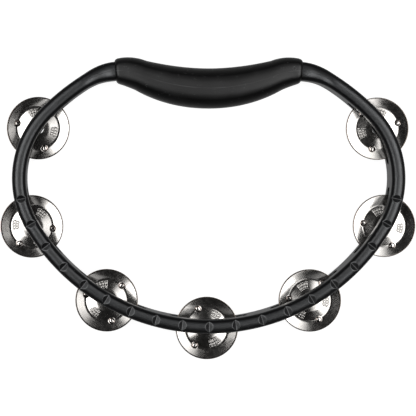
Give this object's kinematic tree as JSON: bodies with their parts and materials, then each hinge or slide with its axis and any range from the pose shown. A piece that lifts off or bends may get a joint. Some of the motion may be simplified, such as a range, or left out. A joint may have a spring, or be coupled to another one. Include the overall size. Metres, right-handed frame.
{
  "type": "tambourine",
  "caption": "Headless hand tambourine: a black moulded loop with a notched front edge, a waisted rubber grip and loose pairs of cupped metal jingles on steel pins.",
  "frame": {"origin": "middle of the whole object seen from above, on the plane of the back rail that it lies on", "axes": "+Z through the loop from the back rail to the notched front rail, +Y from the bottom jingles towards the grip, +X to the right seen from the front"},
  "size_m": [0.2898, 0.2106, 0.04],
  "materials": {
    "moulding": "black moulded ABS, satin with a soft crown highlight",
    "grip_rubber": "matte black moulded rubber",
    "pin_steel": "drawn steel wire with a flattened head",
    "jingle_plating": "bright nickel plating on pressed steel sheet"
  },
  "bodies": {
    "tambourine_frame": {"frame": "moulding", "grip": "grip_rubber"},
    "pin_top_left": {"pin_top_left": "pin_steel"},
    "back_jingle_top_left": {"jingle_back_top_left": "jingle_plating"},
    "front_jingle_top_left": {"jingle_front_top_left": "jingle_plating"},
    "pin_side_left": {"pin_side_left": "pin_steel"},
    "back_jingle_side_left": {"jingle_back_side_left": "jingle_plating"},
    "front_jingle_side_left": {"jingle_front_side_left": "jingle_plating"},
    "pin_low_left": {"pin_low_left": "pin_steel"},
    "back_jingle_low_left": {"jingle_back_low_left": "jingle_plating"},
    "front_jingle_low_left": {"jingle_front_low_left": "jingle_plating"},
    "pin_bottom": {"pin_bottom": "pin_steel"},
    "back_jingle_bottom": {"jingle_back_bottom": "jingle_plating"},
    "front_jingle_bottom": {"jingle_front_bottom": "jingle_plating"},
    "pin_low_right": {"pin_low_right": "pin_steel"},
    "back_jingle_low_right": {"jingle_back_low_right": "jingle_plating"},
    "front_jingle_low_right": {"jingle_front_low_right": "jingle_plating"},
    "pin_side_right": {"pin_side_right": "pin_steel"},
    "back_jingle_side_right": {"jingle_back_side_right": "jingle_plating"},
    "front_jingle_side_right": {"jingle_front_side_right": "jingle_plating"},
    "pin_top_right": {"pin_top_right": "pin_steel"},
    "back_jingle_top_right": {"jingle_back_top_right": "jingle_plating"},
    "front_jingle_top_right": {"jingle_front_top_right": "jingle_plating"}
  },
  "joints": [
    {"name": "spin_top_left", "type": "hinge", "parent": "tambourine_frame", "child": "pin_top_left", "pos_m": [-0.11984, 0.05749, 0.02], "axis": [0, 0, 1], "continuous": true},
    {"name": "slide_top_left", "type": "slide", "parent": "pin_top_left", "child": "back_jingle_top_left", "axis": [0, 0, 1], "range_m": [0, 0.00385]},
    {"name": "clash_top_left", "type": "slide", "parent": "back_jingle_top_left", "child": "front_jingle_top_left", "axis": [0, 0, 1], "range_m": [0, 0.00385]},
    {"name": "spin_side_left", "type": "hinge", "parent": "tambourine_frame", "child": "pin_side_left", "pos_m": [-0.12201, -0.01188, 0.02], "axis": [0, 0, 1], "continuous": true},
    {"name": "slide_side_left", "type": "slide", "parent": "pin_side_left", "child": "back_jingle_side_left", "axis": [0, 0, 1], "range_m": [0, 0.00385]},
    {"name": "clash_side_left", "type": "slide", "parent": "back_jingle_side_left", "child": "front_jingle_side_left", "axis": [0, 0, 1], "range_m": [0, 0.00385]},
    {"name": "spin_low_left", "type": "hinge", "parent": "tambourine_frame", "child": "pin_low_left", "pos_m": [-0.07022, -0.06274, 0.02], "axis": [0, 0, 1], "continuous": true},
    {"name": "slide_low_left", "type": "slide", "parent": "pin_low_left", "child": "back_jingle_low_left", "axis": [0, 0, 1], "range_m": [0, 0.00385]},
    {"name": "clash_low_left", "type": "slide", "parent": "back_jingle_low_left", "child": "front_jingle_low_left", "axis": [0, 0, 1], "range_m": [0, 0.00385]},
    {"name": "spin_bottom", "type": "hinge", "parent": "tambourine_frame", "child": "pin_bottom", "pos_m": [-0.00006, -0.08131, 0.02], "axis": [0, 0, 1], "continuous": true},
    {"name": "slide_bottom", "type": "slide", "parent": "pin_bottom", "child": "back_jingle_bottom", "axis": [0, 0, 1], "range_m": [0, 0.00385]},
    {"name": "clash_bottom", "type": "slide", "parent": "back_jingle_bottom", "child": "front_jingle_bottom", "axis": [0, 0, 1], "range_m": [0, 0.00385]},
    {"name": "spin_low_right", "type": "hinge", "parent": "tambourine_frame", "child": "pin_low_right", "pos_m": [0.07011, -0.06274, 0.02], "axis": [0, 0, 1], "continuous": true},
    {"name": "slide_low_right", "type": "slide", "parent": "pin_low_right", "child": "back_jingle_low_right", "axis": [0, 0, 1], "range_m": [0, 0.00385]},
    {"name": "clash_low_right", "type": "slide", "parent": "back_jingle_low_right", "child": "front_jingle_low_right", "axis": [0, 0, 1], "range_m": [0, 0.00385]},
    {"name": "spin_side_right", "type": "hinge", "parent": "tambourine_frame", "child": "pin_side_right", "pos_m": [0.12189, -0.01188, 0.02], "axis": [0, 0, 1], "continuous": true},
    {"name": "slide_side_right", "type": "slide", "parent": "pin_side_right", "child": "back_jingle_side_right", "axis": [0, 0, 1], "range_m": [0, 0.00385]},
    {"name": "clash_side_right", "type": "slide", "parent": "back_jingle_side_right", "child": "front_jingle_side_right", "axis": [0, 0, 1], "range_m": [0, 0.00385]},
    {"name": "spin_top_right", "type": "hinge", "parent": "tambourine_frame", "child": "pin_top_right", "pos_m": [0.11972, 0.05749, 0.02], "axis": [0, 0, 1], "continuous": true},
    {"name": "slide_top_right", "type": "slide", "parent": "pin_top_right", "child": "back_jingle_top_right", "axis": [0, 0, 1], "range_m": [0, 0.00385]},
    {"name": "clash_top_right", "type": "slide", "parent": "back_jingle_top_right", "child": "front_jingle_top_right", "axis": [0, 0, 1], "range_m": [0, 0.00385]}
  ]
}
